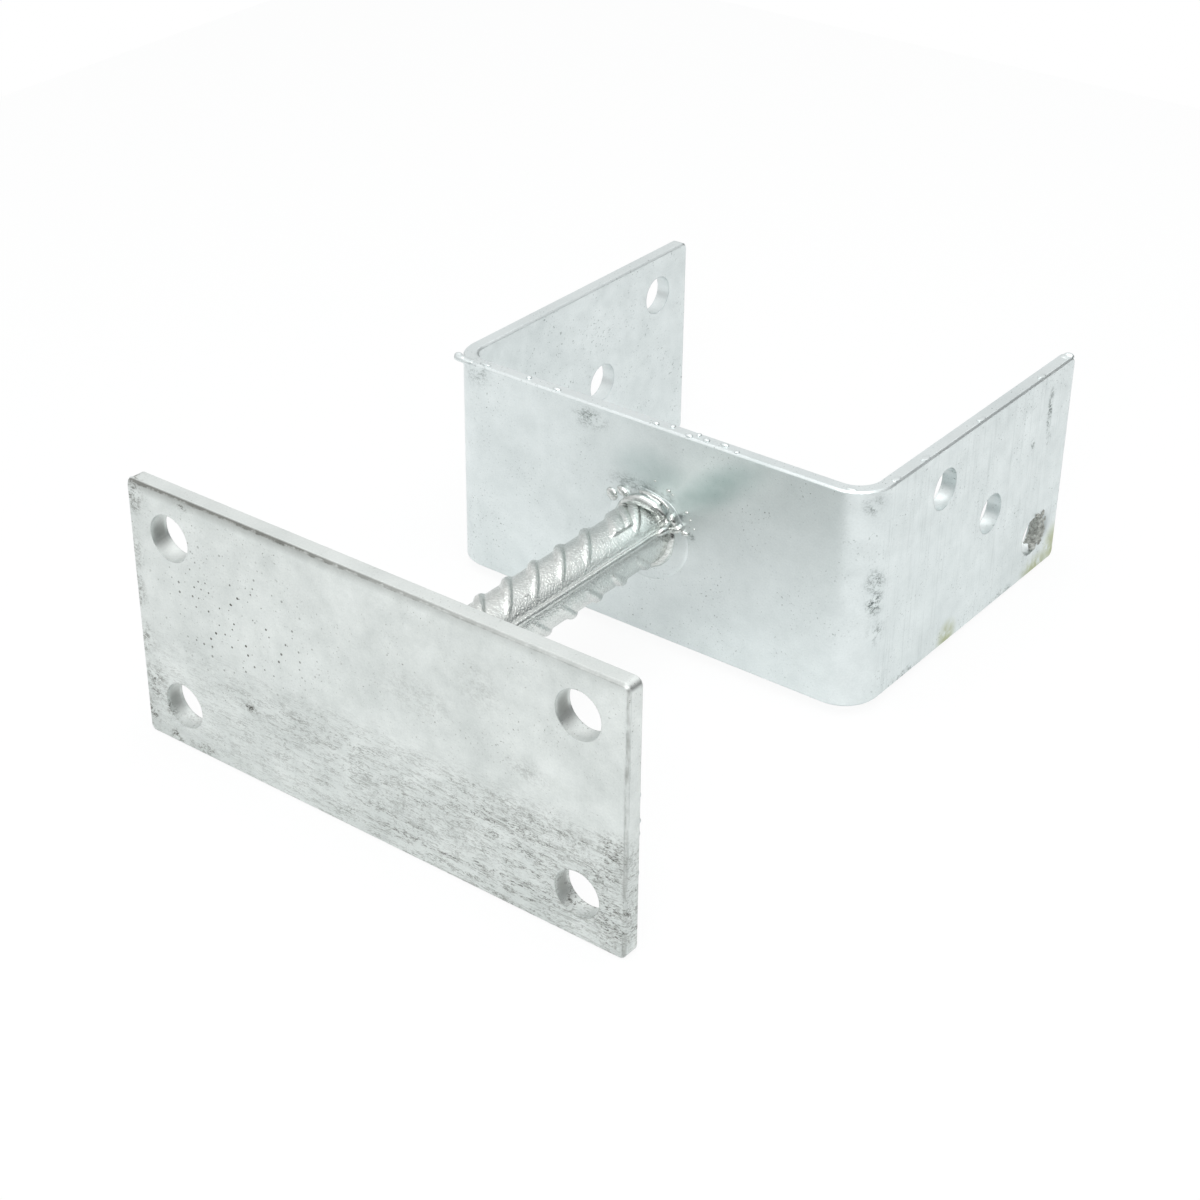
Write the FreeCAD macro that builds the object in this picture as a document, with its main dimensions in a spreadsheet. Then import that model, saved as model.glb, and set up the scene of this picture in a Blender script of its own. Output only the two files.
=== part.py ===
import FreeCAD, Part
import os
import Sketcher

# Timber post base in hot-dip galvanised steel: an anchor plate, a ribbed reinforcing bar that
# stands on it, and a folded strip whose two ears hold the foot of a 120 mm post.
# Frame: +Z up along the bar, +X along the plate's long side, origin at the centre of the plate's
# underside. Every size is in millimetres, or degrees where its name says so.

DRIVING_SIZES = {
    # anchor plate, cut from flat bar
    "plate_long": 145, "plate_wide": 70, "plate_thick": 5, "plate_corner": 2, "plate_edge": 0.6,
    "anchor_hole_dia": 12, "anchor_to_end": 13, "anchor_to_side": 12,
    # ribbed bar, 16 mm nominal: long_rib runs along it, and cross_rib is one crescent rib
    "bar_long": 100, "bar_core_dia": 15.4, "bar_spin_deg": -27,
    "long_rib_wide": 1.1, "long_rib_high": 0.85,
    "cross_rib_high": 0.95, "cross_rib_crest": 1.3, "cross_rib_flank": 1.1, "cross_rib_root": 0.6,
    "cross_rib_pitch": 10.1, "cross_rib_lead": 45.5, "cross_rib_fade": 1.2,
    "left_row_start": 9.65, "right_row_start": 6.3,
    # two short blunt ribs that take the place of one crescent rib, as a rolling mark
    "mark_high": 0.9, "mark_wide_crest": 3.0, "mark_narrow_crest": 1.0, "mark_shift": 1.6,
    "mark_spacing": 4.0, "mark_from_deg": 38, "mark_sweep_deg": 72,
    # folded strip
    "post_gap": 121, "strip_wide": 60, "strip_thick": 4, "fold_inside": 6, "ear_high": 98,
    "ear_corner": 2, "strip_edge": 0.5,
    "ear_hole_dia": 11, "ear_hole_to_top": 14, "ear_hole_to_side": 12, "ear_hole_rise": 26,
    # weld beads: leg along the bar and along the steel that it meets
    "base_weld_leg": 5, "bracket_weld_leg": 5.5, "weld_belly": 0.7,
}

LEFT, RIGHT = -1, 1
ACROSS, UPRIGHT = FreeCAD.Vector(1, 0, 0), FreeCAD.Vector(0, 0, 1)
SAME_PLACE = 0.001  # mm


# The document and its spreadsheet of sizes

def fill_sheet(doc, sizes):
    sheet = doc.addObject("Spreadsheet::Sheet", "Sizes")
    for row, (name, value) in enumerate(sizes.items(), start=1):
        sheet.set(f"A{row}", name)
        sheet.set(f"B{row}", str(value))
        sheet.setAlias(f"B{row}", name)
    doc.recompute()
    return sheet


os.makedirs("parts", exist_ok=True)
doc = FreeCAD.newDocument("PostBase")
sizes = fill_sheet(doc, DRIVING_SIZES)


# Helpers that every body shares

def new_body(name):
    body = doc.addObject("PartDesign::Body", name)
    body.Label = name
    return body


def origin_feature(body, role):
    return next(item for item in body.Origin.OriginFeatures if item.Role == role)


def new_sketch(body, name, role):
    sketch = body.newObject("Sketcher::SketchObject", name)
    sketch.AttachmentSupport = (origin_feature(body, role), [""])
    sketch.MapMode = "FlatFace"
    return sketch


def value_of(size):
    return float(sizes.evalExpression(size))


def point(across, up):
    return FreeCAD.Vector(across, up, 0)


def constrain(sketch, kind, *where):
    sketch.addConstraint(Sketcher.Constraint(kind, *where))


def bind(sketch, kind, *where, size):
    """A dimension of the sketch, held to size, an expression on the spreadsheet."""
    index = sketch.addConstraint(Sketcher.Constraint(kind, *where, value_of(size)))
    sketch.setExpression(f"Constraints[{index}]", size)


def draw_polygon(sketch, points):
    """A closed outline of straight lines, joined end to start."""
    lines = [
        sketch.addGeometry(Part.LineSegment(start, end), False)
        for start, end in zip(points, points[1:] + points[:1])
    ]
    for line, following in zip(lines, lines[1:] + lines[:1]):
        constrain(sketch, "Coincident", line, 2, following, 1)
    return lines


def draw_rectangle(sketch, across, up):
    """A rectangle centred on the sketch's origin; across and up are its sizes as expressions."""
    x, y = value_of(across) / 2, value_of(up) / 2
    bottom, right, top, left = draw_polygon(sketch, [point(-x, -y), point(x, -y), point(x, y), point(-x, y)])
    for line in (bottom, top):
        constrain(sketch, "Horizontal", line)
    for line in (right, left):
        constrain(sketch, "Vertical", line)
    constrain(sketch, "Symmetric", bottom, 1, top, 1, -1, 1)
    bind(sketch, "DistanceX", bottom, 1, bottom, 2, size=across)
    bind(sketch, "DistanceY", right, 1, right, 2, size=up)
    return bottom, right, top, left


def draw_circle(sketch, diameter, centre):
    circle = Part.Circle(centre, UPRIGHT, value_of(diameter) / 2)
    drawn = sketch.addGeometry(circle, False)
    bind(sketch, "Diameter", drawn, size=diameter)
    return drawn


def draw_centred_circle(sketch, diameter):
    circle = draw_circle(sketch, diameter, point(0, 0))
    constrain(sketch, "Coincident", circle, 3, -1, 1)
    return circle


def pad(body, name, sketch, length):
    feature = body.newObject("PartDesign::Pad", name)
    feature.Profile = sketch
    feature.setExpression("Length", length)
    return feature


def cut_through(body, name, sketch, with_normal):
    """Cuts the sketch through everything on one side of its plane, and checks that it cut."""
    doc.recompute()
    before = body.Shape.Volume
    feature = body.newObject("PartDesign::Pocket", name)
    feature.Profile = sketch
    feature.Type = "ThroughAll"
    feature.Reversed = with_normal
    doc.recompute()
    if not body.Shape.Volume < before:
        raise ValueError(f"{name} points away from the steel")
    return feature


def is_sharp(shape, edge):
    """Whether two faces meet at an angle on this edge, not in a smooth run. Their normals'
    product is 1.0 where they run into each other, and 0.0 at a square edge."""
    middle = edge.valueAt((edge.FirstParameter + edge.LastParameter) / 2)
    faces = shape.ancestorsOfType(edge, Part.Face)
    if len(faces) != 2:
        return False
    normals = [face.normalAt(*face.Surface.parameter(middle)) for face in faces]
    return abs(normals[0].dot(normals[1])) < 0.5


def ease_edges(body, name, kind, size, wanted):
    """Rounds or bevels the edges of the body's newest feature that wanted(shape, edge) picks.
    kind is "Fillet", with size as its Radius, or "Chamfer", with size as its Size."""
    doc.recompute()
    base = body.Tip
    edges = [
        f"Edge{number}"
        for number, edge in enumerate(base.Shape.Edges, start=1)
        if wanted(base.Shape, edge)
    ]
    feature = body.newObject(f"PartDesign::{kind}", name)
    feature.Base = (base, edges)
    feature.setExpression("Radius" if kind == "Fillet" else "Size", size)
    doc.recompute()
    return feature


def runs_along(edge, axis):
    run = edge.Vertexes[-1].Point - edge.Vertexes[0].Point
    return run.Length > SAME_PLACE and run.cross(axis).Length < SAME_PLACE


# Anchor plate: a length of flat bar with four drilled holes

plate = new_body("base_plate")
outline = new_sketch(plate, "plate_outline", "XY_Plane")
draw_rectangle(outline, "Sizes.plate_long", "Sizes.plate_wide")
pad(plate, "plate_steel", outline, "Sizes.plate_thick")
ease_edges(plate, "plate_corners", "Fillet", "Sizes.plate_corner", lambda shape, edge: (
    runs_along(edge, UPRIGHT)
))
ease_edges(plate, "plate_edges", "Chamfer", "Sizes.plate_edge", is_sharp)

anchor_holes = new_sketch(plate, "anchor_hole_places", "XY_Plane")
hole_frame = draw_rectangle(
    anchor_holes,
    "Sizes.plate_long - 2 * Sizes.anchor_to_end", "Sizes.plate_wide - 2 * Sizes.anchor_to_side",
)
for side in hole_frame:
    anchor_holes.toggleConstruction(side)
    corner = anchor_holes.Geometry[side].StartPoint
    hole = draw_circle(anchor_holes, "Sizes.anchor_hole_dia", corner)
    constrain(anchor_holes, "Coincident", hole, 3, side, 1)
cut_through(plate, "anchor_hole_cut", anchor_holes, with_normal=True)


# Ribbed bar: a round core, two ribs along it, and two rows of crescent ribs between them.
# In the bar's own frame the long ribs lie along X, and the rows face +Y and -Y.

bar = new_body("ribbed_bar")
bar.Placement.Rotation = FreeCAD.Rotation(UPRIGHT, 0)
bar.setExpression(".Placement.Base.z", "Sizes.plate_thick")
bar.setExpression(".Placement.Rotation.Angle", "Sizes.bar_spin_deg * 1 deg")

core_circle = new_sketch(bar, "core_circle", "XY_Plane")
draw_centred_circle(core_circle, "Sizes.bar_core_dia")
pad(bar, "core", core_circle, "Sizes.bar_long")

long_rib_section = new_sketch(bar, "long_rib_section", "XY_Plane")
draw_rectangle(
    long_rib_section, "Sizes.bar_core_dia + 2 * Sizes.long_rib_high", "Sizes.long_rib_wide"
)
pad(bar, "long_ribs", long_rib_section, "Sizes.bar_long")


def helical_rib(name, row, height, crest, fade, start_height, from_deg, sweep_deg):
    """One raised rib that winds up the bar from the long rib on +X. fade is how far the helix's
    axis lies from the bar's, towards the middle of the row: it sinks both ends into the core and
    so makes the crescent. All sizes are expressions."""
    section = new_sketch(bar, f"{name}_section", "XZ_Plane")
    section.AttachmentOffset.Rotation = FreeCAD.Rotation(FreeCAD.Vector(0, row, 0), 0)
    section.setExpression(".AttachmentOffset.Rotation.Angle", f"{from_deg} * 1 deg")
    section.setExpression(".AttachmentOffset.Base.z", f"{-row} * ({fade})")
    climb_to_start = f"Sizes.cross_rib_lead * ({from_deg}) / 360"
    section.setExpression(".AttachmentOffset.Base.y", f"{start_height} + {climb_to_start}")
    crest_radius = f"Sizes.bar_core_dia / 2 + {height} - ({fade})"
    depth = f"({height} + Sizes.cross_rib_root)"
    root = f"{crest} + 2 * Sizes.cross_rib_flank * {depth} / ({height})"
    outer, deep = value_of(crest_radius), value_of(depth)
    half_crest, half_root = value_of(crest) / 2, value_of(root) / 2
    _, crest_line, _, root_line = draw_polygon(section, [
        point(outer - deep, -half_root), point(outer, -half_crest),
        point(outer, half_crest), point(outer - deep, half_root),
    ])
    for line in (crest_line, root_line):
        constrain(section, "Symmetric", line, 1, line, 2, -1)
    bind(section, "DistanceX", -1, 1, crest_line, 1, size=crest_radius)
    bind(section, "DistanceX", root_line, 2, crest_line, 1, size=depth)
    bind(section, "DistanceY", crest_line, 1, crest_line, 2, size=crest)
    bind(section, "DistanceY", root_line, 2, root_line, 1, size=root)
    rib = bar.newObject("PartDesign::AdditiveHelix", name)
    rib.Profile = section
    rib.ReferenceAxis = (section, ["V_Axis"])
    rib.Mode = "pitch-height-angle"
    rib.LeftHanded = row == LEFT
    rib.setExpression("Pitch", "Sizes.cross_rib_lead")
    rib.setExpression("Height", f"Sizes.cross_rib_lead * ({sweep_deg}) / 360")
    doc.recompute()
    return rib


def crescent_rib(name, row, start_height):
    return helical_rib(
        name, row, "Sizes.cross_rib_high", "Sizes.cross_rib_crest", "Sizes.cross_rib_fade",
        start_height, "0", "180",
    )


def repeat_up(name, rib, copies):
    row = bar.newObject("PartDesign::LinearPattern", name)
    row.Originals = [rib]
    row.Direction = (origin_feature(bar, "Z_Axis"), [""])
    row.setExpression("Occurrences", copies)
    row.setExpression("Length", f"Sizes.cross_rib_pitch * ({copies} - 1)")
    bar.Tip = row
    doc.recompute()
    return row


RIBS_THAT_FIT = "floor((Sizes.bar_long + Sizes.cross_rib_lead / 2) / Sizes.cross_rib_pitch) - 1"
BELOW_THE_END = "Sizes.cross_rib_lead / 2"

# the row on +Y is unbroken
first_right = f"Sizes.right_row_start - {BELOW_THE_END}"
repeat_up("right_row", crescent_rib("right_rib", RIGHT, first_right), RIBS_THAT_FIT)

# the row on -Y has the rolling mark in the place of its last rib but one
first_left = f"Sizes.left_row_start - {BELOW_THE_END}"
repeat_up("left_row", crescent_rib("left_rib", LEFT, first_left), f"({RIBS_THAT_FIT} - 2)")
last_left = f"{first_left} + Sizes.cross_rib_pitch * ({RIBS_THAT_FIT} - 1)"
crescent_rib("left_last_rib", LEFT, last_left)
mark_place = f"{last_left} - Sizes.cross_rib_pitch + Sizes.mark_shift"
for mark_name, crest_size, place in (
    ("wide_mark", "Sizes.mark_wide_crest", mark_place),
    ("narrow_mark", "Sizes.mark_narrow_crest", f"{mark_place} + Sizes.mark_spacing"),
):
    helical_rib(
        mark_name, LEFT, "Sizes.mark_high", crest_size, "0", place,
        "Sizes.mark_from_deg", "Sizes.mark_sweep_deg",
    )

# both ends are sawn square through the ribs
for cut_name, height, upward in (("foot_saw_cut", "0", False), ("head_saw_cut", "Sizes.bar_long", True)):
    waste = new_sketch(bar, f"{cut_name}_waste", "XY_Plane")
    waste.setExpression(".AttachmentOffset.Base.z", height)
    draw_centred_circle(waste, "Sizes.bar_core_dia + 4 * Sizes.cross_rib_high")
    cut_through(bar, cut_name, waste, with_normal=upward)


# Folded strip: a web that carries the post's foot, and two ears. Its own z = 0 is the web's
# underside, where the bar is welded on.

bracket = new_body("post_bracket")
bracket.setExpression(".Placement.Base.z", "Sizes.plate_thick + Sizes.bar_long")

section = new_sketch(bracket, "strip_section", "XZ_Plane")


def draw_line(start, end):
    return section.addGeometry(Part.LineSegment(start, end), False)


def draw_arc(centre, radius, start_quarter):
    """A quarter circle, anticlockwise from the given quarter turn."""
    quarter = 1.5707963
    circle = Part.Circle(centre, FreeCAD.Vector(0, 0, 1), radius)
    start = start_quarter * quarter
    return section.addGeometry(Part.ArcOfCircle(circle, start, start + quarter), False)


inside, thick = value_of("Sizes.post_gap / 2"), value_of("Sizes.strip_thick")
inner_radius = value_of("Sizes.fold_inside")
outside, outer_radius = inside + thick, inner_radius + thick
fold_across, fold_up, top = inside - inner_radius, outer_radius, thick + value_of("Sizes.ear_high")

left_outside = draw_line(point(-outside, top), point(-outside, fold_up))
left_outer_fold = draw_arc(point(-fold_across, fold_up), outer_radius, 2)
web_under = draw_line(point(-fold_across, 0), point(fold_across, 0))
right_outer_fold = draw_arc(point(fold_across, fold_up), outer_radius, 3)
right_outside = draw_line(point(outside, fold_up), point(outside, top))
right_top = draw_line(point(outside, top), point(inside, top))
right_inside = draw_line(point(inside, top), point(inside, fold_up))
right_inner_fold = draw_arc(point(fold_across, fold_up), inner_radius, 3)
web_seat = draw_line(point(fold_across, thick), point(-fold_across, thick))
left_inner_fold = draw_arc(point(-fold_across, fold_up), inner_radius, 2)
left_inside = draw_line(point(-inside, fold_up), point(-inside, top))
left_top = draw_line(point(-inside, top), point(-outside, top))

for line in (web_under, web_seat, right_top, left_top):
    constrain(section, "Horizontal", line)
for line in (left_outside, right_outside):
    constrain(section, "Vertical", line)
for line, line_end, fold, fold_end in (
    (left_outside, 2, left_outer_fold, 1), (web_under, 1, left_outer_fold, 2),
    (web_under, 2, right_outer_fold, 1), (right_outside, 1, right_outer_fold, 2),
    (right_inside, 2, right_inner_fold, 2), (web_seat, 1, right_inner_fold, 1),
    (web_seat, 2, left_inner_fold, 2), (left_inside, 1, left_inner_fold, 1),
):
    constrain(section, "Tangent", line, line_end, fold, fold_end)
for end_line, before, after in (
    (right_top, right_outside, right_inside), (left_top, left_inside, left_outside)
):
    constrain(section, "Coincident", before, 2, end_line, 1)
    constrain(section, "Coincident", end_line, 2, after, 1)
for outer_fold, inner_fold in ((left_outer_fold, left_inner_fold), (right_outer_fold, right_inner_fold)):
    constrain(section, "Coincident", outer_fold, 3, inner_fold, 3)
constrain(section, "Equal", left_inner_fold, right_inner_fold)
constrain(section, "Symmetric", left_inside, 2, right_inside, 1, -2)
constrain(section, "PointOnObject", web_under, 1, -1)
bind(section, "DistanceX", left_inside, 2, right_inside, 1, size="Sizes.post_gap")
bind(section, "DistanceX", left_top, 2, left_top, 1, size="Sizes.strip_thick")
bind(section, "DistanceX", right_top, 2, right_top, 1, size="Sizes.strip_thick")
bind(section, "DistanceY", -1, 1, web_seat, 1, size="Sizes.strip_thick")
bind(section, "Radius", left_inner_fold, size="Sizes.fold_inside")
bind(section, "DistanceY", web_seat, 1, right_inside, 1, size="Sizes.ear_high")

strip = pad(bracket, "strip_steel", section, "Sizes.strip_wide")
strip.Midplane = True
ease_edges(bracket, "ear_corners", "Fillet", "Sizes.ear_corner", lambda shape, edge: (
    runs_along(edge, ACROSS) and shape.BoundBox.ZMax - edge.Vertexes[0].Z < SAME_PLACE
))
ease_edges(bracket, "strip_edges", "Chamfer", "Sizes.strip_edge", is_sharp)

# each ear has three holes in a slanting row, the low one towards -Y on the right and +Y on the left
HIGH_HOLE = "Sizes.strip_thick + Sizes.ear_high - Sizes.ear_hole_to_top"
HOLE_SHIFT = "Sizes.strip_wide / 2 - Sizes.ear_hole_to_side"
high_up, rise, shift = value_of(HIGH_HOLE), value_of("Sizes.ear_hole_rise"), value_of(HOLE_SHIFT)
for ear_name, ear in (("left_ear", LEFT), ("right_ear", RIGHT)):
    holes = new_sketch(bracket, f"{ear_name}_hole_places", "YZ_Plane")
    holes.setExpression(".AttachmentOffset.Base.z", f"{ear} * Sizes.post_gap / 2")
    low, middle, high = (
        draw_circle(holes, "Sizes.ear_hole_dia", centre)
        for centre in (
            point(-ear * shift, high_up - 2 * rise), point(0, high_up - rise), point(ear * shift, high_up)
        )
    )
    constrain(holes, "PointOnObject", middle, 3, -2)
    constrain(holes, "Symmetric", low, 3, high, 3, middle, 3)
    towards_front, towards_back = (low, high) if ear == RIGHT else (high, low)
    bind(holes, "DistanceX", towards_front, 3, towards_back, 3, size=f"2 * ({HOLE_SHIFT})")
    bind(holes, "DistanceY", low, 3, middle, 3, size="Sizes.ear_hole_rise")
    bind(holes, "DistanceY", -1, 1, high, 3, size=HIGH_HOLE)
    cut_through(bracket, f"{ear_name}_holes", holes, with_normal=ear == RIGHT)


# Weld beads: a fillet round each end of the bar, hollowed by the bar's own ribbed surface

def weld_bead(name, leg):
    """A ring round the bar's end, turned from a right-angled section whose face bulges at its
    middle. leg is an expression."""
    ring = new_body(f"{name}_ring")
    bead = new_sketch(ring, f"{name}_section", "XZ_Plane")
    core_radius = "Sizes.bar_core_dia / 2"
    bulge = f"({leg} / 2 + Sizes.weld_belly / sqrt(2))"
    core, side, belly = value_of(core_radius), value_of(leg), value_of(bulge)
    foot, lower_face, _, top, inside = draw_polygon(bead, [
        point(core / 2, 0), point(core + side, 0), point(core + belly, belly),
        point(core, side), point(core / 2, side),
    ])
    for line in (foot, top):
        constrain(bead, "Horizontal", line)
    constrain(bead, "Vertical", inside)
    constrain(bead, "PointOnObject", foot, 1, -1)
    bind(bead, "DistanceX", -1, 1, foot, 1, size=f"{core_radius} / 2")
    bind(bead, "DistanceX", -1, 1, foot, 2, size=f"{core_radius} + {leg}")
    bind(bead, "DistanceX", -1, 1, lower_face, 2, size=f"{core_radius} + {bulge}")
    bind(bead, "DistanceY", -1, 1, lower_face, 2, size=bulge)
    bind(bead, "DistanceX", -1, 1, top, 1, size=core_radius)
    bind(bead, "DistanceY", foot, 1, top, 2, size=leg)
    turned = ring.newObject("PartDesign::Revolution", f"{name}_turned")
    turned.Profile = bead
    turned.ReferenceAxis = (bead, ["V_Axis"])
    turned.Angle = 360
    weld = doc.addObject("Part::Cut", name)
    weld.Base = ring
    weld.Tool = bar
    weld.Label = name
    return ring, weld


base_ring, base_weld = weld_bead("base_weld", "Sizes.base_weld_leg")
base_ring.setExpression(".Placement.Base.z", "Sizes.plate_thick")

bracket_ring, bracket_weld = weld_bead("bracket_weld", "Sizes.bracket_weld_leg")
bracket_ring.Placement.Rotation = FreeCAD.Rotation(ACROSS, 180)
bracket_ring.setExpression(".Placement.Base.z", "Sizes.plate_thick + Sizes.bar_long")


# Build, check and write

doc.recompute()
for item in doc.Objects:
    if any(word in item.State for word in ("Invalid", "Error")):
        raise ValueError(f"{item.Name} did not build: {item.State}")
for item in doc.findObjects("Sketcher::SketchObject"):
    if item.solve() != 0:
        raise ValueError(f"{item.Name} does not solve")

for piece in (plate, bar, bracket, base_weld, bracket_weld):
    shape = piece.Shape
    if shape.isNull() or not shape.isValid() or len(shape.Solids) != 1:
        raise ValueError(f"{piece.Label} is not one valid solid")
    shape.exportStep(f"parts/{piece.Label}.step")
    print(piece.Label, round(shape.Volume, 1), "mm3,", len(shape.Faces), "faces")
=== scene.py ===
import math

import bmesh
import bpy
from mathutils import Matrix, Vector, noise


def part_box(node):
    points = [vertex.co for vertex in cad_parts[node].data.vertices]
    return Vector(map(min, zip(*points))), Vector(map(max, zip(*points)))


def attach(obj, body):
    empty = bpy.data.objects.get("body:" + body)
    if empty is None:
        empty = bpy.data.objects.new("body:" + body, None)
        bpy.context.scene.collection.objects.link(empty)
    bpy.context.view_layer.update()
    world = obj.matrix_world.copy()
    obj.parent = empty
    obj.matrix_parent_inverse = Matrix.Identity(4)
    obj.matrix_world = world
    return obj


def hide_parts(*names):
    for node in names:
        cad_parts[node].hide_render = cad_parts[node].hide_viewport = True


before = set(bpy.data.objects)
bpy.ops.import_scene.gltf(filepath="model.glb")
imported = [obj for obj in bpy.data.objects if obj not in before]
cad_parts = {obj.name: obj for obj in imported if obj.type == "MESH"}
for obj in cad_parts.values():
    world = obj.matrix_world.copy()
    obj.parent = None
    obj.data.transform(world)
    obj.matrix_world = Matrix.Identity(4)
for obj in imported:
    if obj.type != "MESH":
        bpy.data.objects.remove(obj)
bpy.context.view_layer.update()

mm = 0.001

# Anchor plate
# A length of 70 x 5 mm hot-rolled flat bar with four drilled holes, dipped in molten zinc after
# welding. The zinc drained towards the +Y edge, so that half is streaked and speckled.

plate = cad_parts["base_plate"]
PLATE_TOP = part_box("base_plate")[1].z / mm
PLATE_MIDDLE = PLATE_TOP / 2
HOLE_OUT = 59.5  # from the plate's middle to a hole's, in mm along X
HOLE_ACROSS = 23  # and along Y


def linear(hex_colour):
    """An sRGB colour such as "d7dedc" as the linear numbers that a shader takes."""
    parts = [int(hex_colour[i:i + 2], 16) / 255 for i in (0, 2, 4)]
    return [c / 12.92 if c <= 0.04045 else ((c + 0.055) / 1.055) ** 2.4 for c in parts] + [1.0]


def add(tree, kind, *inputs, **settings):
    """Adds a shader node with its settings and links, and gives it back. The inputs stand in the
    node's own order, or in one dict by name or number. Each is a value, a socket, or a node whose
    first active output is meant."""
    node = tree.nodes.new("ShaderNode" + kind)
    for name, value in settings.items():
        setattr(node, name, value)
    named = inputs[0] if inputs and isinstance(inputs[0], dict) else dict(enumerate(inputs))
    for name, value in named.items():
        if isinstance(value, bpy.types.Node):
            value = next(out for out in value.outputs if out.enabled)
        if isinstance(value, bpy.types.NodeSocket):
            tree.links.new(value, node.inputs[name])
        else:
            node.inputs[name].default_value = value
    return node


def place_in_mm(tree):
    """Where on the post base a point lies, in mm."""
    where = add(tree, "TexCoord")
    return add(tree, "VectorMath", {0: where.outputs["Object"], "Scale": 1 / mm}, operation="SCALE")


def cloud(tree, place, size, detail=3.0, rough=0.55, start=0.0):
    """Cloudy patches about 0.5 high and size mm across, or size mm along X, Y and Z."""
    across = (size, size, size) if isinstance(size, (int, float)) else size
    fitted = add(tree, "VectorMath", place, [1 / width for width in across], (start, start, start),
                 operation="MULTIPLY_ADD")
    return add(tree, "TexNoise", {
        "Vector": fitted, "Scale": 1.0, "Detail": detail, "Roughness": rough,
    })


def patch(tree, place, centre, reach):
    """1 at the centre of a soft round patch and 0 beyond its reach, both in mm."""
    offset = add(tree, "VectorMath", place, centre, operation="SUBTRACT")
    scaled = add(tree, "VectorMath", offset, [1 / r for r in reach], operation="MULTIPLY")
    far = add(tree, "VectorMath", scaled, operation="LENGTH")
    return add(tree, "MapRange", far.outputs["Value"], 1.0, 0.1, interpolation_type="SMOOTHSTEP")


def strongest(tree, *marks):
    """The darkest of several marks at each point."""
    darkest = marks[0]
    for mark in marks[1:]:
        darkest = add(tree, "Math", darkest, mark, operation="MAXIMUM")
    return darkest


def level_lines(tree, place, size, width, start=0.0):
    """Thin dark squiggles: the level lines of a cloud whose patches are size mm across."""
    level = cloud(tree, place, size, detail=3, rough=0.65, start=start)
    off = add(tree, "Math", level, 0.5, operation="SUBTRACT")
    off = add(tree, "Math", off, operation="ABSOLUTE")
    return add(tree, "MapRange", off, width, 0.2 * width)


def stains(tree, place, squiggles, marks):
    """The strongest of several stains. Each mark is a centre, a reach and a strength. A stain is
    a thin haze with squiggles in it, broken into flakes 2 mm across."""
    fields = strongest(tree, *[
        add(tree, "Math", patch(tree, place, centre, reach), strength, operation="MULTIPLY")
        for centre, reach, strength in marks
    ])
    flakes = cloud(tree, place, 2.2, detail=4, rough=0.7, start=41)
    flakes = add(tree, "MapRange", flakes, 0.42, 0.56)
    fields = add(tree, "Math", fields, flakes, operation="MULTIPLY")
    haze = add(tree, "Math", squiggles, 0.8, 0.2, operation="MULTIPLY_ADD")
    return add(tree, "Math", haze, fields, operation="MULTIPLY")


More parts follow.
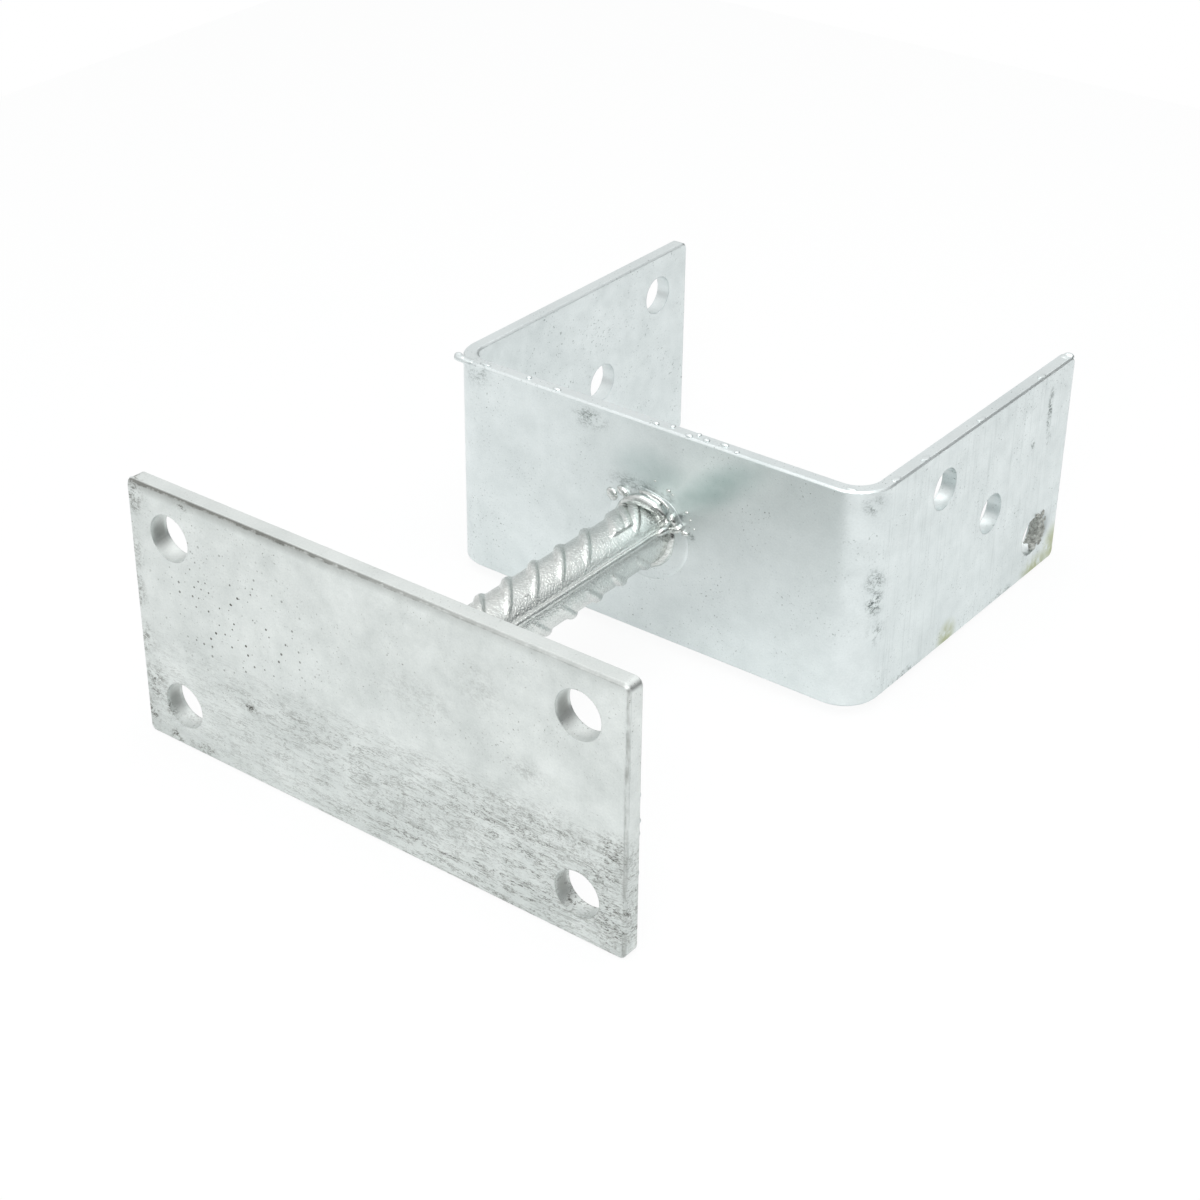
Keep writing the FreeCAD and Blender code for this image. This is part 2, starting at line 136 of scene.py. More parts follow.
def zinc_coat(name, pale, grey, dirt, roughness, soiling_and_shade, cloudy=1.0, sandy=0.1):
    """Hot-dip galvanised steel: a pale, cloudy crust of zinc and its alloys, with fine dark
    specks of ash. It is a metal, with a dull sheen. The function it is given, of tree, place
    and squiggles, gives how much dirt this piece has where it has stains, streaks and pits of
    its own, and how much shade is painted on it."""
    material = bpy.data.materials.new(name)
    material.use_nodes = True
    tree = material.node_tree
    shader = tree.nodes["Principled BSDF"]
    shader.inputs["Metallic"].default_value = 1.0
    place = place_in_mm(tree)

    # clouds 22 mm across, blotches of 5 mm, and a grain of half a millimetre
    clouds = add(tree, "MapRange", cloud(tree, place, 22, detail=4), 0.36, 0.66)
    blotches = cloud(tree, place, 5, detail=5, rough=0.65, start=7)
    blotches = add(tree, "MapRange", blotches, 0.3, 0.7)
    grain = add(tree, "MapRange", cloud(tree, place, 0.5, detail=2, start=13), 0.25, 0.75)
    shade = add(tree, "Math", clouds, 0.6, operation="MULTIPLY")
    shade = add(tree, "Math", blotches, 0.4, shade, operation="MULTIPLY_ADD")
    shade = add(tree, "Math", shade, cloudy, 0.3 - 0.5 * cloudy, operation="MULTIPLY_ADD")
    shade = add(tree, "Math", grain, 0.4, shade, operation="MULTIPLY_ADD")
    colour = add(tree, "Mix", {0: shade, 6: linear(pale), 7: linear(grey)}, data_type="RGBA")

    # specks of ash under a millimetre across, thicker in some fields than in others
    squiggles = level_lines(tree, place, (1.8, 1.1, 1.4), 0.07, start=3)
    specks = cloud(tree, place, 0.7, detail=3, rough=0.6, start=11)
    specks = add(tree, "MapRange", specks, 0.62, 0.7)
    fields = add(tree, "MapRange", cloud(tree, place, 11, detail=3, start=19), 0.42, 0.66, 0.0, 0.7)
    dirt_and_shade = add(tree, "Math", specks, fields, operation="MULTIPLY")
    # the piece's own dirt, and on the plate the painted shade along its -Y edge, darken the colour
    dirt_and_shade = strongest(tree, dirt_and_shade, soiling_and_shade(tree, place, squiggles))
    colour = add(tree, "Mix", {0: dirt_and_shade, 6: colour, 7: linear(dirt)}, data_type="RGBA")
    tree.links.new(colour.outputs[2], shader.inputs["Base Color"])

    # the crust rounds each edge by a third of a millimetre, and is duller there, where it has
    # dirt and where shade is painted on it
    rounded = add(tree, "Bevel", {"Radius": 0.35 * mm}, samples=6)
    flat = add(tree, "NewGeometry")
    bent = add(tree, "VectorMath", rounded, flat.outputs["Normal"], operation="DOT_PRODUCT")
    edge = add(tree, "MapRange", bent.outputs["Value"], 0.995, 0.93)
    worn = strongest(tree, dirt_and_shade, edge)
    dull = add(tree, "MapRange", blotches, 0.0, 1.0, roughness - 0.06, roughness + 0.08)
    dull = add(tree, "Math", worn, 0.4, dull, operation="MULTIPLY_ADD")
    tree.links.new(dull.outputs[0], shader.inputs["Roughness"])

    # waves in the crust 6 mm apart, and its fine grain; dirt and painted shade lie in pits
    waves = cloud(tree, place, 6, detail=3, start=5)
    height = add(tree, "Math", grain, sandy, waves, operation="MULTIPLY_ADD")
    height = add(tree, "Math", dirt_and_shade, -0.25, height, operation="MULTIPLY_ADD")
    bump = add(tree, "Bump", {
        "Height": height, "Strength": 1.0, "Distance": 0.08 * mm, "Normal": rounded,
    })
    tree.links.new(bump.outputs[0], shader.inputs["Normal"])
    return material


def drag_marks(tree, place, axes, lines):
    """Dark squiggles 1 to 3 mm long and longer scores, in drag marks along the plate, which fade
    in from its middle to the +Y edge."""
    broken = cloud(tree, place, (6, 1.5, 3), detail=3, rough=0.75, start=23)
    broken = add(tree, "MapRange", broken, 0.44, 0.54)
    threads = add(tree, "Math", lines, broken, operation="MULTIPLY")
    worn = cloud(tree, place, (9, 3, 3), detail=4, rough=0.7, start=47)
    worn = add(tree, "MapRange", worn, 0.46, 0.6, 0.0, 0.75)
    scores = level_lines(tree, place, (14, 0.9, 3), 0.03, start=43)
    scores = add(tree, "Math", scores, worn, operation="MULTIPLY")
    bands = cloud(tree, place, (50, 2.4, 3), detail=5, rough=0.65, start=29)
    bands = add(tree, "MapRange", bands, 0.38, 0.66)
    thick = add(tree, "Math", bands, 0.6, 0.35, operation="MULTIPLY_ADD")
    drag = add(tree, "Math", strongest(tree, threads, scores), thick, operation="MULTIPLY")
    drag = add(tree, "Math", bands, 0.07, drag, operation="MULTIPLY_ADD")
    lower = add(tree, "MapRange", axes.outputs["Y"], -1.0, 13.0, interpolation_type="SMOOTHSTEP")
    righter = add(tree, "MapRange", axes.outputs["X"], -60.0, 40.0, 0.35, 0.95)
    faded = add(tree, "Math", lower, righter, operation="MULTIPLY")
    return add(tree, "Math", drag, faded, operation="MULTIPLY")


def round_pits(tree, place):
    """Pits 0.3 to 0.8 mm across on the underside's left."""
    cells = add(tree, "TexVoronoi", {"Vector": place, "Scale": 0.42}, voronoi_dimensions="2D")
    size = add(tree, "MapRange", cells.outputs["Color"], 0.4, 0.85, 0.02, 0.16)
    depth = add(tree, "Math", size, cells.outputs["Distance"], operation="SUBTRACT")
    pits = add(tree, "MapRange", depth, 0.0, 0.04)
    left = patch(tree, place, (-40, -8, 0), (38, 26, 9))
    return add(tree, "Math", pits, left, operation="MULTIPLY")


def painted_shade_rim(tree, place, axes):
    """Painted shade on the underside: a dark line along the -Y edge for a dark room mirrored there,
    with a painted shadow beside it; brown down the +X edge.
    """
    ragged = cloud(tree, place, 2.5, detail=5, rough=0.7)
    ragged = add(tree, "Math", ragged, -2.0, axes.outputs["Y"], operation="MULTIPLY_ADD")
    # painted reflection of a dark room: a ragged dark line along the -Y edge, and a painted shadow
    # fading in beside it
    edge = add(tree, "MapRange", ragged, -35.0, -35.6, 0.0, 0.75)
    shadow = add(tree, "MapRange", axes.outputs["Y"], -32.0, -35.0, 0.0, 0.45)
    lefter = add(tree, "MapRange", axes.outputs["X"], 55.0, -20.0, 0.35, 1.0)
    shade_rim = add(tree, "Math", strongest(tree, edge, shadow), lefter, operation="MULTIPLY")
    brown = add(tree, "MapRange", cloud(tree, place, (1, 6, 1), start=5), 0.4, 0.6)
    corner = add(tree, "MapRange", axes.outputs["X"], 71.3, 71.9, 0.0, 0.35)
    corner = add(tree, "Math", corner, brown, operation="MULTIPLY")
    under = add(tree, "MapRange", axes.outputs["Z"], 0.7, 0.4)
    return add(tree, "Math", strongest(tree, shade_rim, corner), under, operation="MULTIPLY")


def drilled_walls(tree, place, axes):
    """Darker towards the -X side of the walls of the four holes."""
    depth = add(tree, "Math", axes.outputs["Z"], PLATE_MIDDLE, operation="SUBTRACT")
    depth = add(tree, "Math", depth, operation="ABSOLUTE")
    inside = add(tree, "MapRange", depth, 2.2, 1.4)
    holes = strongest(tree, *[
        patch(tree, place, (x - 5, y + 1, PLATE_MIDDLE), (7, 5, 4))
        for x in (-HOLE_OUT, HOLE_OUT) for y in (-HOLE_ACROSS, HOLE_ACROSS)
    ])
    walls = add(tree, "Math", holes, inside, operation="MULTIPLY")
    return add(tree, "Math", walls, 0.45, operation="MULTIPLY")


def plate_soiling_and_shade(tree, place, squiggles):
    """Drag marks, pits, a rim of painted shade along the -Y edge, drilled walls, spots down the -X
    end and smears at the +X.
    """
    axes = add(tree, "SeparateXYZ", place)
    lines = level_lines(tree, place, (2.6, 0.7, 2), 0.05, start=2)
    spots = stains(tree, place, squiggles, (
        ((-71, -32, 0), (5, 10, 6), 0.9),
        ((-71, -16, 0), (3, 8, 6), 0.5),
        ((-72, -5, 0), (4, 9, 6), 0.6),
        ((-71, 8, 0), (5, 7, 6), 0.7),
        ((-69, 20, 0), (6, 9, 6), 0.8),
        ((-71, 29, 0), (4, 6, 6), 0.9),
        ((-55, -33, 0), (3.5, 1.3, 6), 1.0),
        ((-64, 25, 0), (4, 4, 6), 1.0),
        ((-63, 33, 0), (4, 3, 6), 1.0),
        ((-54, 33, 0), (7, 3, 6), 0.9),
        ((-37, 14.5, 0), (5, 2.0, 6), 1.0),
        ((33, -19, 0), (9, 9, 6), 0.2),
        ((15, -10, 0), (16, 8, 6), 0.2),
        ((46, -3, 0), (10, 5, 6), 0.25),
    ))
    smears = stains(tree, place, lines, (
        ((69, 8, 0), (8, 8, 6), 1.0),
        ((66, 15, 0), (10, 6, 6), 0.9),
        ((69, 27, 0), (8, 12, 6), 1.0),
        ((50, 10, 0), (30, 9, 6), 0.6),
        ((20, 22, 0), (40, 6, 6), 0.5),
    ))
    return strongest(
        tree, drag_marks(tree, place, axes, lines), round_pits(tree, place),
        painted_shade_rim(tree, place, axes), drilled_walls(tree, place, axes), spots, smears,
    )


# flat bar takes a thick crust: pale grey, dull, and it mirrors next to nothing
plate_zinc = zinc_coat("galvanised_flat_bar", "e7ebe9", "d1d6d4", "66655e", 0.45, plate_soiling_and_shade)
plate.data.materials.clear()
plate.data.materials.append(plate_zinc)

# Ribbed bar
# 100 mm of 16 mm reinforcing bar, hot rolled with two long ribs and rows of crescent ribs. Its
# zinc is bright and glossy, a tenth of a millimetre thick, and has rounded every rib.

cad_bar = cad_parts["ribbed_bar"]
ZINC_THICK = 0.12  # in mm
RIB_FOOT = 0.6  # how far zinc fills the foot of a crescent rib on either side, in mm
FOOT_DEPTH = 0.975  # how near the axis that foot lies, as a share


def bar_soiling(tree, place, squiggles):
    """Faint squiggles alone."""
    return add(tree, "Math", squiggles, 0.12, operation="MULTIPLY")


# the bar drained fast, so its zinc is thin and bright, with a sandy grain
bar_zinc = zinc_coat("galvanised_ribbed_bar", "eceeeb", "d5dad8", "6c6e68", 0.14, bar_soiling,
                     sandy=1.4)


def one_skin(name, mesh, voxel, rounds, material):
    """Melts everything in the mesh into one closed skin of squares voxel mm wide, lets it settle
    for some rounds, and thins its triangles out to three fifths."""
    piece = bpy.data.objects.new(name, mesh)
    bpy.context.collection.objects.link(piece)
    melt = piece.modifiers.new("melt", "REMESH")
    melt.mode, melt.voxel_size, melt.use_smooth_shade = "VOXEL", voxel * mm, True
    settle = piece.modifiers.new("settle", "SMOOTH")
    settle.iterations, settle.factor = rounds, 0.5
    thin_out = piece.modifiers.new("thin_out", "DECIMATE")
    thin_out.ratio = 0.6
    mesh.materials.clear()
    mesh.materials.append(material)
    return piece


def heap_of(mesh=None):
    """Loose points in mm and the faces between them, at first those of the mesh."""
    if mesh is None:
        return [], []
    return [vert.co / mm for vert in mesh.vertices], [list(face.vertices) for face in mesh.polygons]


def mesh_of(name, heap):
    """A mesh in metres of what lies in a heap."""
    mesh = bpy.data.meshes.new(name)
    mesh.from_pydata([point * mm for point in heap[0]], [], heap[1])
    return mesh


steel = heap_of(cad_bar.data)
for shift in (-RIB_FOOT, RIB_FOOT):
    lower = heap_of(cad_bar.data)
    first = len(steel[0])
    steel[0].extend(
        Vector((FOOT_DEPTH * point.x, FOOT_DEPTH * point.y, point.z + shift)) for point in lower[0]
    )
    steel[1].extend([first + index for index in face] for face in lower[1])
bar = one_skin("zinc_coated_bar", mesh_of("zinc_coated_bar", steel), voxel=0.24, rounds=1,
               material=bar_zinc)
thicken = bar.modifiers.new("zinc", "DISPLACE")
thicken.strength, thicken.mid_level = ZINC_THICK * mm, 0.0
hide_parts("ribbed_bar")
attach(bar, "root")

# Base weld
# One pass of arc weld round the bar's foot, laid on the plate's upper face. It was dipped with the
# rest, so it is steel under the same bright zinc.

PASS_UP = PLATE_TOP + 0.6  # the height of the pass's middle line, in mm
BEAD_STEP = 3  # degrees from one bead of a run to the next
RIPPLES = 34
WANDER = 0.15  # how far a blob's skin wanders, as a share of its thinnest half size
WAVES_PER_MM = 0.45
noise.seed_set(1)  # every run then gives the same lumps


def weld_soiling(tree, place, squiggles):
    """Squiggles of slag."""
    return add(tree, "Math", squiggles, 0.25, operation="MULTIPLY")


def blobs(heap, shapes):
    """Adds rough ellipsoids to a heap. Each shape is its centre and its three half sizes, in mm,
    and its turn about Z in degrees."""
    ball = bmesh.new()
    bmesh.ops.create_icosphere(ball, subdivisions=3, radius=1.0)
    for centre, halves, turn in shapes:
        place = Matrix.Translation(centre) @ Matrix.Rotation(math.radians(turn), 4, "Z")
        place = place @ Matrix.Diagonal((*halves, 1.0))
        first = len(heap[0])
        for vert in ball.verts:
            point = place @ vert.co
            wave = noise.noise_vector(point * WAVES_PER_MM)
            heap[0].append(point + WANDER * min(halves) * wave)
        heap[1].extend([first + vert.index for vert in face.verts] for face in ball.faces)
    ball.free()


def run_of_beads(heap, from_deg, to_deg, out, up, thick, taper):
    """A run of beads round the bar: out and up are its middle line's radius and height at both
    ends, and taper is how far it thins out towards them."""
    steps = round(abs(to_deg - from_deg) / BEAD_STEP)
    for step in range(steps + 1):
        t = step / steps
        angle = math.radians(from_deg + (to_deg - from_deg) * t)
        radius = out[0] + (out[1] - out[0]) * t
        height = up[0] + (up[1] - up[0]) * t
        size = thick * (1 - taper * (2 * t - 1) ** 2)
        centre = (radius * math.cos(angle), radius * math.sin(angle), height)
        blobs(heap, [(centre, (size, size, size), 0.0)])


# weld metal holds the most zinc, which sets bright and wet-looking, with dark slag in its folds
weld_zinc = zinc_coat("galvanised_weld", "eceeeb", "cdd2d0", "5f625c", 0.16, weld_soiling)
foot = heap_of()
run_of_beads(foot, 0, 360, out=(8.4, 8.4), up=(PASS_UP, PASS_UP), thick=3.0, taper=0.0)
# the faint ripples that the arc left as it went round, no two of them alike
for step in range(RIPPLES):
    angle = 360 / RIPPLES * step + 3.5 * math.sin(2.3 * step)
    radius = 8.9 + 0.3 * math.sin(1.7 * step)
    middle = (radius * math.cos(math.radians(angle)), radius * math.sin(math.radians(angle)),
              PLATE_TOP + 0.9 + 0.25 * math.sin(3.1 * step))
    blobs(foot, [(middle, (3.0, 2.1, 2.7), angle)])
foot_piece = one_skin("base_weld_bead", mesh_of("base_weld_bead", foot), voxel=0.25, rounds=5,
                      material=weld_zinc)
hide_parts("base_weld")
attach(foot_piece, "root")

# Post bracket
# A 60 x 4 mm strip folded into a U round two tight bends, with three drilled holes in each ear.
# The zinc is cloudy on its outside and has a few dark smears along the bends.

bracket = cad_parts["post_bracket"]


def bracket_soiling(tree, place, squiggles):
    """Drain marks on the ears, and stains round the weld, the right fold and the ear's edges."""
    axes = add(tree, "SeparateXYZ", place)
    # faint drain marks across the outside of the ears, 0.7 mm wide and 20 mm long
    drained = cloud(tree, place, (3, 20, 0.7), detail=4, rough=0.6, start=31)
    drained = add(tree, "MapRange", drained, 0.52, 0.72)
    outside = add(tree, "Math", axes.outputs["X"], operation="ABSOLUTE")
    outside = add(tree, "MapRange", outside, 64.0, 64.4, 0.0, 0.12)
    drained = add(tree, "Math", drained, outside, operation="MULTIPLY")
    marks = stains(tree, place, squiggles, (
        ((-18, -26, 105), (8, 4, 8), 0.7),
        ((-55, -28, 105), (6, 6, 8), 0.5),
        ((-3, -12, 105), (11, 3.5, 3), 0.6),
        ((6, -11.5, 105), (6, 2.5, 3), 0.5),
        ((14, -3, 105), (2, 1.6, 3), 0.9),
        ((63, -26, 109), (3, 4, 6), 0.6),
        ((64, -5, 111), (3, 5, 6), 0.7),
        ((64, 1, 111), (2.5, 6, 5), 1.0),
        ((64, 10, 113), (3, 5, 5), 0.6),
        ((64.5, -19, 195), (6, 9, 2), 1.0),
        ((64.5, -11.6, 187), (3, 3, 2), 0.8),
        ((64.5, -10, 196), (3, 3, 2), 0.8),
        ((64.5, 29, 128), (4, 2, 9), 0.8),
        ((64.5, 29, 178), (4, 2, 8), 0.8),
    ))
    # brown scale in the sharp corner of the left fold, and dross in the right ear's upper hole
    fold = patch(tree, place, (-57, -28, 111), (4, 5, 3))
    fold = add(tree, "Math", fold, 0.7, operation="MULTIPLY")
    hole = patch(tree, place, (63, 18, 199), (4, 7, 5))
    hole = add(tree, "Math", hole, 0.5, operation="MULTIPLY")
    return strongest(tree, drained, marks, fold, hole)


# the strip's crust is smooth, a little blue, and softly clouded, with a dull sheen
bracket_zinc = zinc_coat("galvanised_strip", "e9efef", "d6dddd", "66726f", 0.38, bracket_soiling,
                         cloudy=0.7)
tree = bracket_zinc.node_tree
surface = tree.nodes["Principled BSDF"].inputs["Base Color"]
clean = surface.links[0].from_socket
place = place_in_mm(tree)
# yellow-green stains of old flux by the right ear's +Y edge
flux = strongest(
    tree,
    patch(tree, place, (64.5, 26, 206), (4, 9, 7)),
    patch(tree, place, (64.5, 29, 197), (4, 5, 11)),
    patch(tree, place, (64.5, 28, 149), (4, 6, 6)),
)
uneven = add(tree, "MapRange", cloud(tree, place, 4, detail=4, start=37), 0.3, 0.5)
flux = add(tree, "Math", flux, uneven, operation="MULTIPLY")
stained = add(tree, "Mix", {0: flux, 6: clean, 7: linear("b5bb98")}, data_type="RGBA")
# painted reflection on the web: a blue-grey blur of the bar mirrored there, as a long streak
# that slants off the bar, and a fainter patch of painted shade beside it
REFLECTION_STREAK = (20, -18, 105)
SLANT = math.radians(37)
turned = add(tree, "VectorRotate", {"Vector": place, "Center": REFLECTION_STREAK, "Angle": SLANT},
             rotation_type="Z_AXIS")
reflection_streak = add(tree, "Math", patch(tree, turned, REFLECTION_STREAK, (25, 7, 3)), 0.75, operation="MULTIPLY")
shade_beside = patch(tree, place, (2, -17, 105), (16, 9, 3))
shade_beside = add(tree, "Math", shade_beside, 0.5, operation="MULTIPLY")
uneven = add(tree, "MapRange", cloud(tree, place, 6, detail=4, start=17), 0.25, 0.6, 0.6)
painted_bar_reflection = add(tree, "Math", strongest(tree, reflection_streak, shade_beside), uneven, operation="MULTIPLY")
# mixes the painted reflection of the bar and the painted shade into the strip's colour
with_painted_reflection = add(tree, "Mix", {0: painted_bar_reflection, 6: stained, 7: linear("a3b8b6")}, data_type="RGBA")
tree.links.new(with_painted_reflection.outputs[2], surface)
bracket.data.materials.clear()
bracket.data.materials.append(bracket_zinc)

# Bracket weld
# A pass of arc weld round the bar's head, drowned in zinc that drained down the bar: a crescent
# on the -Y side, and lumps and drops round the long rib's end.

WEB_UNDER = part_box("post_bracket")[0].z / mm
weld = heap_of()
# the root of the pass all round
run_of_beads(weld, -180, 175, out=(8.2, 8.2), up=(WEB_UNDER - 0.3, WEB_UNDER - 0.3),
             thick=1.6, taper=0.0)
run_of_beads(weld, 0, 190, out=(8.0, 8.0), up=(WEB_UNDER - 0.8, WEB_UNDER - 0.8),
             thick=1.9, taper=0.3)
# the crescent, and a second ridge of zinc outside it
run_of_beads(weld, -124, -48, out=(9.1, 9.7), up=(WEB_UNDER - 2.4, WEB_UNDER - 1.4),
             thick=1.75, taper=0.55)
run_of_beads(weld, -98, -50, out=(11.0, 11.5), up=(WEB_UNDER - 0.4, WEB_UNDER - 0.3),
             thick=0.6, taper=0.4)
# lumps round the end of the long rib
blobs(weld, [
    ((8.2, -4.4, WEB_UNDER - 3.2), (1.5, 1.2, 3.2), -28),
    ((9.6, -6.8, WEB_UNDER - 1.2), (0.8, 1.8, 1.3), -30),
    ((10.4, -4.2, WEB_UNDER - 1.0), (1.8, 1.1, 1.3), -22),
    ((12.4, -3.4, WEB_UNDER - 0.2), (1.2, 0.7, 0.7), 0),
    ((-6.6, -9.2, WEB_UNDER - 0.4), (2.2, 1.3, 1.2), 20),
    ((-10.4, -7.0, WEB_UNDER - 0.1), (2.0, 1.6, 0.8), 30),
])
# drops that splashed on the web
SPLASHES = (
    (6.9, -13.6, 0.8), (8.2, -12.9, 0.5), (12.6, -9.4, 0.7),
    (13.8, -7.6, 0.5), (15.0, -5.4, 0.5), (2.8, -15.0, 0.5),
)
blobs(weld, [
    ((x, y, WEB_UNDER), (size, 0.6 * size, 0.7 * size), 0.0) for x, y, size in SPLASHES
])
bead = one_skin("bracket_weld_beads", mesh_of("bracket_weld_beads", weld), voxel=0.2, rounds=3,
                material=weld_zinc)
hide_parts("bracket_weld")
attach(bead, "root")

# Weld puddle
# A thin, smooth sheet of zinc that drained down the bar and set round its head on the web, with
# the same crust as the strip. It is a closed body of rings, and its back lies inside the web.

PUDDLE_RINGS = (  # each ring's radius, and how far it stands below the web, in mm
    (5.0, 0.9), (9.0, 0.75), (10.6, 0.5), (11.8, 0.34), (12.5, 0.12), (12.8, -0.2), (12.0, -0.5),
    (5.0, -0.5),
)
PUDDLE_SIDES = 96
OFF_AXIS = 0.7  # in mm, along X and along Y

puddle = bmesh.new()
rings = []
for radius, below in PUDDLE_RINGS:
    ring = []
    for step in range(PUDDLE_SIDES):
        turn = math.tau * step / PUDDLE_SIDES
        wander = noise.noise(Vector((2 * math.cos(turn), 2 * math.sin(turn), 0.0)))
        reach = radius + 0.5 * wander * radius / 12
        point = Vector((OFF_AXIS + reach * math.cos(turn), OFF_AXIS + reach * math.sin(turn),
                        WEB_UNDER - below))
        ring.append(puddle.verts.new(point * mm))
    rings.append(ring)
for inner, outer in zip(rings, rings[1:] + rings[:1]):
    for step in range(PUDDLE_SIDES):
        puddle.faces.new((inner[step], inner[step - 1], outer[step - 1], outer[step]))
bmesh.ops.recalc_face_normals(puddle, faces=puddle.faces)
for face in puddle.faces:
    face.smooth = True
puddle_mesh = bpy.data.meshes.new("weld_puddle")
puddle.to_mesh(puddle_mesh)
puddle.free()
puddle_mesh.materials.append(bracket_zinc)
puddle_piece = bpy.data.objects.new("weld_puddle", puddle_mesh)
bpy.context.collection.objects.link(puddle_piece)
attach(puddle_piece, "root")

# Zinc runs
# Where the steel was lifted out of the bath, the last of the zinc set in drops along the upper
# edges and in small horns at the corners.

runs = heap_of()
blobs(runs, [
    # lumps at the plate's lower -X, -Y corner
    ((-71.4, -34.0, 1.1), (0.9, 0.8, 0.8), 0),
    ((-71.6, -33.7, 2.6), (0.7, 0.8, 0.7), 0),
    ((-70.6, -34.3, 2.0), (0.8, 0.6, 0.7), 0),
    ((-70.9, -34.1, 3.7), (0.9, 0.7, 0.7), 0),
    ((-69.4, -34.5, 0.8), (0.9, 0.4, 0.5), 0),
    ((-71.7, -32.6, 4.2), (0.6, 0.9, 0.5), 0),
    # the horn at the left fold, and the one at the top of the right ear
    ((-59.0, -29.5, 106.2), (3.4, 0.8, 1.3), 0),
    ((-60.9, -29.6, 106.1), (2.2, 0.9, 1.2), 0),
    ((-62.1, -29.9, 106.6), (1.3, 0.9, 1.0), 0),
    ((62.6, -29.4, 204.9), (1.9, 0.9, 2.0), 0),
    ((63.0, -29.8, 205.9), (1.5, 0.9, 1.0), 0),
])
# drops on the web's -Y edge, on the right ear's and on the plate's +X end
WEB_DROPS = (
    (-39.3, 107.4, 0.9, 0.5), (-29.4, 106.4, 1.3, 0.5), (1.6, 106.3, 1.1, 0.6),
    (5.8, 107.6, 0.8, 0.4), (11.8, 106.0, 1.2, 0.5), (13.6, 107.8, 0.7, 0.4),
    (16.6, 106.6, 1.0, 0.5), (21.6, 107.2, 1.3, 0.5), (26.0, 106.0, 0.8, 0.3),
    (57.8, 107.0, 1.6, 0.3), (-53.0, 106.6, 1.8, 0.3),
)
EAR_DROPS = (118.0, 131.5, 158.5, 190.0)
PLATE_DROPS = ((0.6, 4.7), (3.8, 4.6), (-6.0, 4.7), (14.0, 4.6))
blobs(runs, [((x, -30.0, z), (long, high, 0.8), 0) for x, z, long, high in WEB_DROPS])
blobs(runs, [((63.4, -30.0, z), (1.0, 0.25, 1.8), 0) for z in EAR_DROPS])
blobs(runs, [((71.8, y, z), (0.7, 0.9, 0.5), 0) for y, z in PLATE_DROPS])
runs_piece = one_skin("zinc_runs", mesh_of("zinc_runs", runs), voxel=0.16, rounds=2,
                      material=bracket_zinc)
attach(runs_piece, "root")

# Dross in a screw hole
# Grey-brown ash and dross from the bath, set as a crumbly crust in the right ear's upper hole,
# where it wasn't knocked out after the dip.

HOLE = Vector((62.5, 18.0, 193.0))  # its middle, in mm; it is 11 mm wide and runs along X
ROWS = (  # each row's place along the hole, its radius and the size of its crumbs, in mm
    (-1.4, 5.8, 0.5), (-0.6, 5.7, 0.6), (0.3, 5.7, 0.7), (1.2, 5.7, 0.7), (2.0, 5.9, 0.5),
)
dross = heap_of()
for angle in range(-50, 80, 10):
    for x, out, size in ROWS:
        turn = math.radians(angle + 4 * x)
        centre = HOLE + Vector((x, -out * math.sin(turn), out * math.cos(turn)))
        blobs(dross, [(centre, (size, size, size), 0)])
# the crust has crept over the rim, and a paler lump has set at its foot
blobs(dross, [
    ((64.5, 13.0, 198.1), (0.5, 0.9, 0.7), 0),
    ((64.5, 15.4, 199.6), (0.4, 0.7, 0.6), 0),
    ((64.5, 18.6, 199.3), (0.5, 1.1, 0.6), 0),
    ((63.8, 22.4, 195.2), (1.0, 1.0, 1.3), 0),
])
# the crust is broken up every 0.8 mm
crumbs = [point + 0.3 * noise.noise_vector(point / 0.8) for point in dross[0]], dross[1]

# ash and oxide with a little zinc metal left in it: matt, and mottled in lumps of 1 mm
ash = bpy.data.materials.new("zinc_ash")
ash.use_nodes = True
tree = ash.node_tree
shader = tree.nodes["Principled BSDF"]
shader.inputs["Metallic"].default_value = 0.3
shader.inputs["Roughness"].default_value = 0.7
lumps = cloud(tree, place_in_mm(tree), 1.2, detail=5, rough=0.7)
lumps = add(tree, "MapRange", lumps, 0.35, 0.65)
colour = add(tree, "Mix", {0: lumps, 6: linear("83857f"), 7: linear("d2d5d0")}, data_type="RGBA")
tree.links.new(colour.outputs[2], shader.inputs["Base Color"])
bump = add(tree, "Bump", {"Height": lumps, "Strength": 1.0, "Distance": 0.2 * mm})
tree.links.new(bump.outputs[0], shader.inputs["Normal"])
dross_piece = one_skin("screw_hole_dross", mesh_of("screw_hole_dross", crumbs), voxel=0.2, rounds=1,
                       material=ash)
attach(dross_piece, "root")

# Stage
# A pale floor under the post base, which lies on the plate's +Y edge and on the ends of its ears,
# and a soft white studio round it.

FLOOR_HALF = 0.45  # half the floor's side, in metres
PLATE_REST = Vector((0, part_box("base_plate")[1].y, 0))
EAR_REST = Vector((0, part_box("post_bracket")[1].y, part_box("post_bracket")[1].z))
along = (EAR_REST - PLATE_REST).normalized()
floor_up = along.cross(Vector((1, 0, 0))).normalized()
if floor_up.y > 0:
    floor_up.negate()
across = along.cross(floor_up)
centre = (PLATE_REST + EAR_REST) / 2
corners = [
    centre + across * (a * FLOOR_HALF) + along * (b * FLOOR_HALF)
    for a, b in ((-1, -1), (1, -1), (1, 1), (-1, 1))
]
floor_mesh = bpy.data.meshes.new("floor")
floor_mesh.from_pydata(corners, [], [(0, 1, 2, 3)])
floor_mesh.update()
if floor_mesh.polygons[0].normal.dot(floor_up) < 0:
    floor_mesh.flip_normals()
floor = bpy.data.objects.new("floor", floor_mesh)
bpy.context.collection.objects.link(floor)

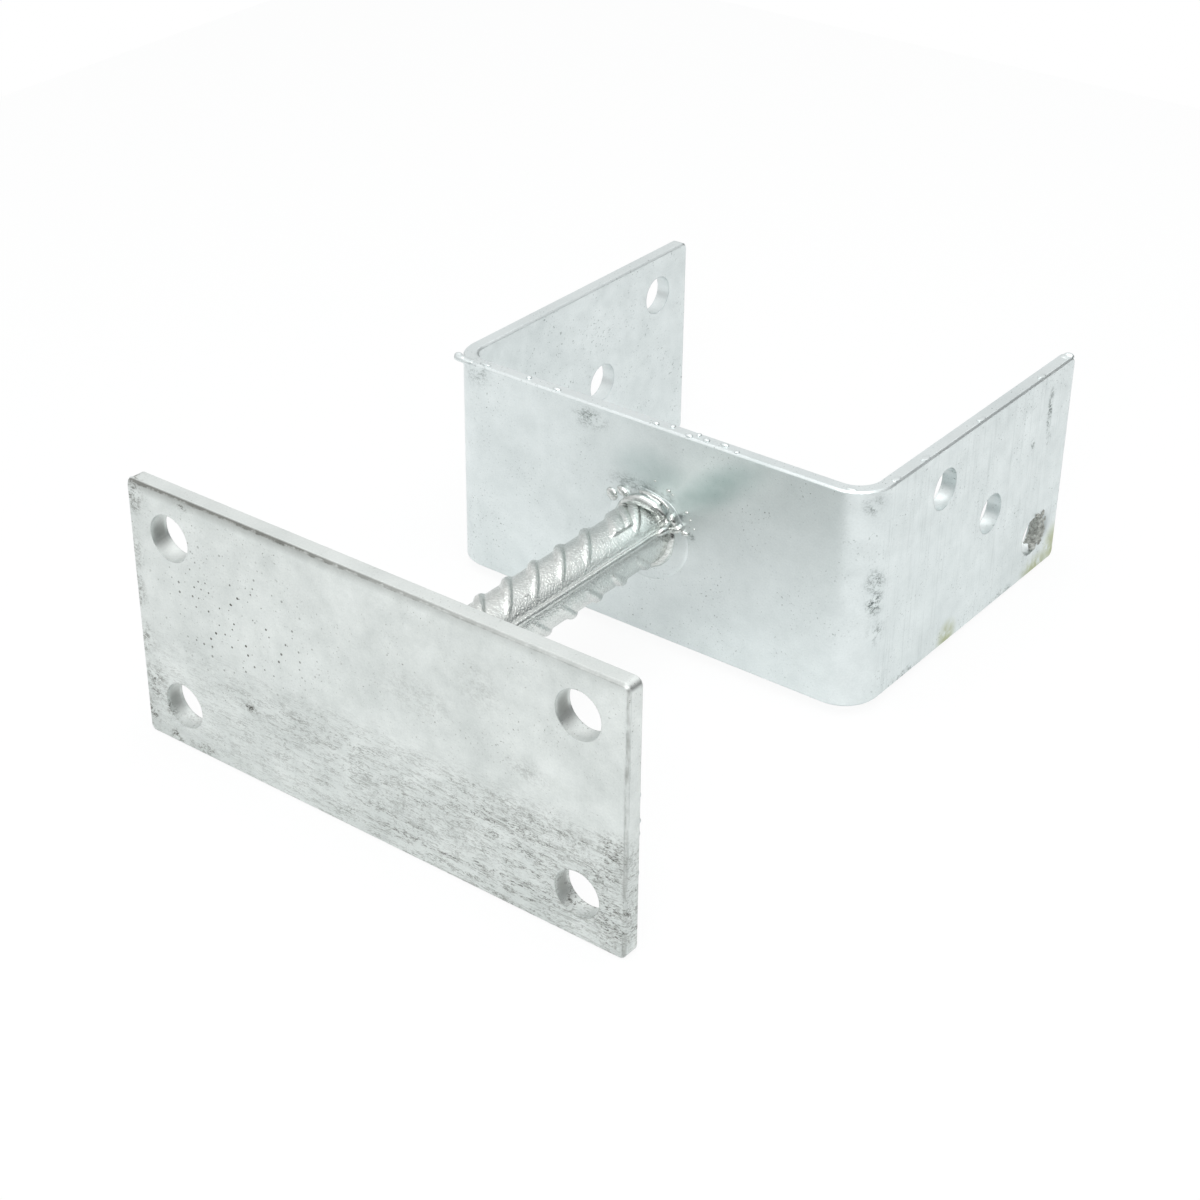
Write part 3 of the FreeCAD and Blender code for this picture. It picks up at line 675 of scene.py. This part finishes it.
# painted board: mostly glow to the lens, matt to the lamps so that it keeps the shadow, and
# clear from below
white_table = bpy.data.materials.new("white_table")
white_table.use_nodes = True
tree = white_table.node_tree
tree.nodes.clear()
rays = add(tree, "LightPath")
matt = add(tree, "BsdfDiffuse", {"Color": linear("f8fafa")})
glow = add(tree, "Emission", {"Color": (1, 1, 1, 1), "Strength": 1.0})
seen = add(tree, "Math", rays.outputs["Is Camera Ray"], 0.9, operation="MULTIPLY")
mirrored = add(tree, "Math", rays.outputs["Is Glossy Ray"], 0.4, operation="MULTIPLY")
glowing = add(tree, "Math", seen, mirrored, operation="ADD")
lit = add(tree, "MixShader", glowing, matt, glow)
side = add(tree, "NewGeometry")
clear = add(tree, "BsdfTransparent")
shown = add(tree, "MixShader", side.outputs["Backfacing"], lit, clear)
add(tree, "OutputMaterial", {"Surface": shown})
floor_mesh.materials.append(white_table)

world = bpy.data.worlds.new("studio")
bpy.context.scene.world = world
world.use_nodes = True
tree = world.node_tree
tree.nodes.clear()
# the object's gloss finds white overhead and a dark room low down beyond the table, which is
# darkest on the object's right
where = add(tree, "TexCoord")
raised = add(tree, "VectorMath", where.outputs["Generated"], floor_up, operation="DOT_PRODUCT")
axes = add(tree, "SeparateXYZ", where.outputs["Generated"])
low = add(tree, "MapRange", raised.outputs["Value"], 0.57, 0.34, interpolation_type="SMOOTHSTEP")
righter = add(tree, "MapRange", axes.outputs["X"], -0.4, 0.5, 0.25, 0.96)
dark = add(tree, "Math", low, righter, operation="MULTIPLY")
brightness = add(tree, "Math", 1.0, dark, operation="SUBTRACT")
rays = add(tree, "LightPath")
ambient = add(tree, "Background", {"Color": linear("ffffff"), "Strength": 0.68})
room = add(tree, "Background", {"Color": (1, 1, 1, 1), "Strength": brightness})
white = add(tree, "Background", {"Color": (1, 1, 1, 1), "Strength": 1.0})
mixed = add(tree, "MixShader", rays.outputs["Is Glossy Ray"], ambient, room)
mixed = add(tree, "MixShader", rays.outputs["Is Camera Ray"], mixed, white)
add(tree, "OutputWorld", {"Surface": mixed})


def softbox(name, place, target, size, power):
    """A square lamp whose side is size metres and whose power is in watts, turned to a target."""
    lamp = bpy.data.lights.new(name, "AREA")
    lamp.shape, lamp.size, lamp.energy = "SQUARE", size, power
    lamp_object = bpy.data.objects.new(name, lamp)
    lamp_object.location = place
    ahead = Vector(target) - Vector(place)
    lamp_object.rotation_euler = ahead.to_track_quat("-Z", "Y").to_euler()
    bpy.context.collection.objects.link(lamp_object)


MIDDLE = (0, 0, 0.1)  # the middle of the post base, in metres
softbox("overhead", (0.1, -0.7, 0.0), MIDDLE, size=0.6, power=2.5)
softbox("by_the_lens", (0.36, -0.6, -0.6), MIDDLE, size=0.3, power=1.6)

# Camera
# A 71 mm lens about half a metre off the post base, which looks at the plate's underside from
# above and from the right ear's side.

lens_place = Vector((0.3053, -0.2909, -0.3209))
forward = Vector((-0.5155, 0.5112, 0.6877)).normalized()
up = Vector((-0.3163, -0.8594, 0.4017))
right = forward.cross(up).normalized()
up = right.cross(forward)
camera_data = bpy.data.cameras.new("camera")
camera_data.sensor_width = 36.0
camera_data.lens = 71.09
camera_data.clip_start, camera_data.clip_end = 0.01, 10.0
camera = bpy.data.objects.new("camera", camera_data)
camera.matrix_world = Matrix((right, up, -forward)).transposed().to_4x4()
camera.location = lens_place
bpy.context.collection.objects.link(camera)
bpy.context.scene.camera = camera
bpy.context.scene.view_settings.view_transform = "Standard"
